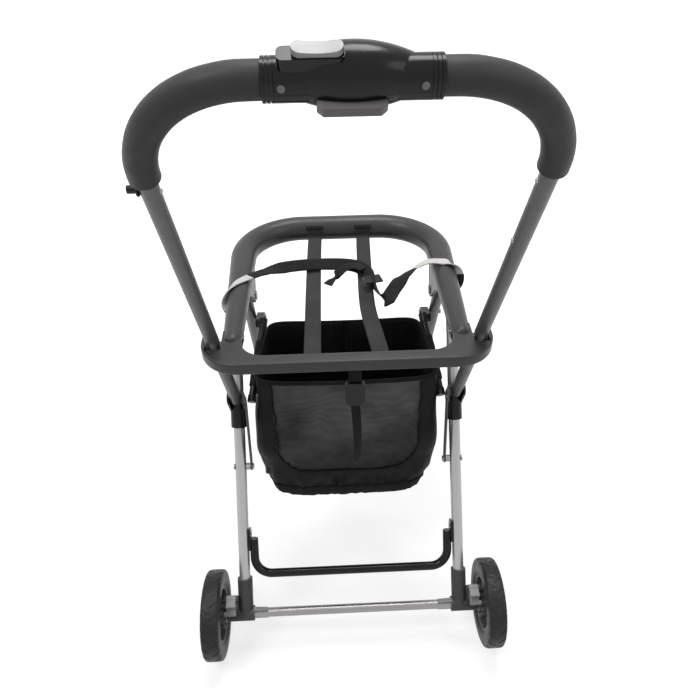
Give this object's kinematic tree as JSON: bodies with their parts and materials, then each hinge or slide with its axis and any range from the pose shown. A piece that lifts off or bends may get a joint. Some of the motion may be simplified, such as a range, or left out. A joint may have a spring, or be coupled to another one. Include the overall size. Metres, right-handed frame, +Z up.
{
  "type": "car seat stroller frame",
  "caption": "Folding wheeled frame that carries an infant car seat in a ring, with a foam U-handle, cloth basket, swivel front wheels and foot brakes.",
  "frame": {"origin": "on the floor, under the middle of the frame", "axes": "+Z up, +Y the way it rolls forward, +X to the right for someone pushing it"},
  "size_m": [0.529, 0.6988, 1.0434],
  "materials": {
    "leg_silver": "satin silver paint",
    "arm_grey": "satin blue-grey paint",
    "black_gloss_steel": "gloss black paint",
    "chrome_axle": "bright plated",
    "rivet_steel": "plated",
    "ring_plastic": "satin charcoal",
    "black_plastic": "semi-gloss black",
    "socket_plastic": "moulded dark grey",
    "foam": "matte foam",
    "tyre": "moulded tread",
    "hub_grey": "moulded grey",
    "pedal_grey": "moulded light grey",
    "button_grey": "moulded pale grey",
    "trigger_grey": "moulded grey",
    "webbing": "woven webbing",
    "safety_webbing": "woven webbing",
    "basket_cloth": "woven cloth and mesh"
  },
  "bodies": {
    "rear_frame": {"rear_leg_left": "leg_silver", "rear_leg_right": "leg_silver", "axle_socket_left": "socket_plastic", "axle_socket_right": "socket_plastic", "rear_axle": "chrome_axle", "axle_caps": "socket_plastic", "lower_bar": "black_gloss_steel", "lower_bar_rivets": "rivet_steel", "hinge_bracket_left": "black_plastic", "hinge_bracket_right": "black_plastic", "leg_pivot_pins": "rivet_steel", "link_pivots": "rivet_steel"},
    "brake_left": {"brake_pedal_left": "pedal_grey"},
    "brake_right": {"brake_pedal_right": "pedal_grey"},
    "rear_wheel_left": {"rear_tyre_left": "tyre", "rear_hub_left": "hub_grey"},
    "rear_wheel_right": {"rear_tyre_right": "tyre", "rear_hub_right": "hub_grey"},
    "front_legs": {"front_leg_left": "arm_grey", "front_leg_right": "arm_grey", "front_cross_bar": "arm_grey", "basket_pivots": "rivet_steel", "caster_socket_left": "socket_plastic", "caster_socket_right": "socket_plastic"},
    "caster_left": {"caster_fork_left": "socket_plastic", "front_axle_left": "rivet_steel"},
    "caster_right": {"caster_fork_right": "socket_plastic", "front_axle_right": "rivet_steel"},
    "front_wheel_left": {"front_tyre_left": "tyre", "front_hub_left": "hub_grey"},
    "front_wheel_right": {"front_tyre_right": "tyre", "front_hub_right": "hub_grey"},
    "seat_ring": {"ring_front_bar": "ring_plastic", "ring_rail_left": "ring_plastic", "ring_rail_right": "ring_plastic", "ring_rear_bar": "ring_plastic", "ring_screws": "rivet_steel", "arm_pivot_pins": "rivet_steel", "arm_strut_left": "arm_grey", "arm_strut_right": "arm_grey", "ring_strap_left": "webbing", "ring_strap_right": "webbing", "safety_strap": "safety_webbing"},
    "hanging_buckle": {"buckle_strap": "safety_webbing", "buckle": "black_plastic"},
    "push_handle": {"handle_tube": "arm_grey", "arm_lugs": "socket_plastic", "foam_grip_left": "foam", "foam_grip_right": "foam", "housing_top": "black_plastic", "housing_bottom": "black_plastic", "grip_collars": "black_plastic", "housing_screws": "rivet_steel", "tray_peg": "black_plastic"},
    "slide_button": {"slide_button": "button_grey"},
    "squeeze_trigger": {"squeeze_trigger": "trigger_grey"},
    "basket": {"basket_rail_left": "black_plastic", "basket_rail_right": "black_plastic", "basket": "basket_cloth"},
    "basket_links": {"basket_links": "leg_silver"}
  },
  "joints": [
    {"name": "leg_fold", "type": "hinge", "parent": "rear_frame", "child": "front_legs", "pos_m": [0, 0.06966, 0.566], "axis": [1, 0, 0], "range_deg": [-40, 0]},
    {"name": "ring_fold", "type": "hinge", "parent": "rear_frame", "child": "seat_ring", "pos_m": [0, 0.06966, 0.566], "axis": [1, 0, 0], "range_deg": [-58, 0]},
    {"name": "handle_fold", "type": "hinge", "parent": "seat_ring", "child": "push_handle", "pos_m": [0, -0.12264, 0.606], "axis": [1, 0, 0], "range_deg": [-102, 0]},
    {"name": "basket_fold", "type": "hinge", "parent": "front_legs", "child": "basket", "pos_m": [0, 0.10901, 0.495], "axis": [1, 0, 0], "range_deg": [0, 38]},
    {"name": "link_fold", "type": "hinge", "parent": "rear_frame", "child": "basket_links", "pos_m": [0, -0.07748, 0.3115], "axis": [1, 0, 0], "range_deg": [0, 29.6]},
    {"name": "buckle_swing", "type": "hinge", "parent": "seat_ring", "child": "hanging_buckle", "pos_m": [0.008, -0.16884, 0.60005], "axis": [1, 0, 0], "range_deg": [0, 58]},
    {"name": "rear_wheel_left_spin", "type": "hinge", "parent": "rear_frame", "child": "rear_wheel_left", "pos_m": [-0.244, -0.21334, 0.0765], "axis": [1, 0, 0], "continuous": true},
    {"name": "brake_left_press", "type": "hinge", "parent": "rear_frame", "child": "brake_left", "pos_m": [-0.213, -0.20934, 0.1165], "axis": [1, 0, 0], "range_deg": [0, 18]},
    {"name": "caster_left_swivel", "type": "hinge", "parent": "front_legs", "child": "caster_left", "pos_m": [-0.17281, 0.31138, 0.15], "axis": [0, 0, 1], "continuous": true},
    {"name": "front_wheel_left_spin", "type": "hinge", "parent": "caster_left", "child": "front_wheel_left", "pos_m": [-0.17281, 0.27938, 0.07], "axis": [1, 0, 0], "continuous": true},
    {"name": "rear_wheel_right_spin", "type": "hinge", "parent": "rear_frame", "child": "rear_wheel_right", "pos_m": [0.244, -0.21334, 0.0765], "axis": [1, 0, 0], "continuous": true},
    {"name": "brake_right_press", "type": "hinge", "parent": "rear_frame", "child": "brake_right", "pos_m": [0.213, -0.20934, 0.1165], "axis": [1, 0, 0], "range_deg": [0, 18]},
    {"name": "caster_right_swivel", "type": "hinge", "parent": "front_legs", "child": "caster_right", "pos_m": [0.17281, 0.31138, 0.15], "axis": [0, 0, 1], "continuous": true},
    {"name": "front_wheel_right_spin", "type": "hinge", "parent": "caster_right", "child": "front_wheel_right", "pos_m": [0.17281, 0.27938, 0.07], "axis": [1, 0, 0], "continuous": true},
    {"name": "slide_button_travel", "type": "slide", "parent": "push_handle", "child": "slide_button", "axis": [1, 0, 0], "range_m": [0, 0.008], "stiffness_N_per_m": 250, "springref_m": -0.003},
    {"name": "squeeze_trigger_travel", "type": "slide", "parent": "push_handle", "child": "squeeze_trigger", "axis": [0, 0.8949, 0.4462], "range_m": [0, 0.006], "stiffness_N_per_m": 400, "springref_m": -0.003}
  ],
  "couplings": [
    {"joint": "ring_fold", "follows": "leg_fold", "ratio": 1.45},
    {"joint": "handle_fold", "follows": "leg_fold", "ratio": 2.55},
    {"joint": "basket_fold", "follows": "leg_fold", "ratio": -0.95},
    {"joint": "link_fold", "follows": "leg_fold", "ratio": -0.74},
    {"joint": "buckle_swing", "follows": "leg_fold", "ratio": -1.45}
  ]
}
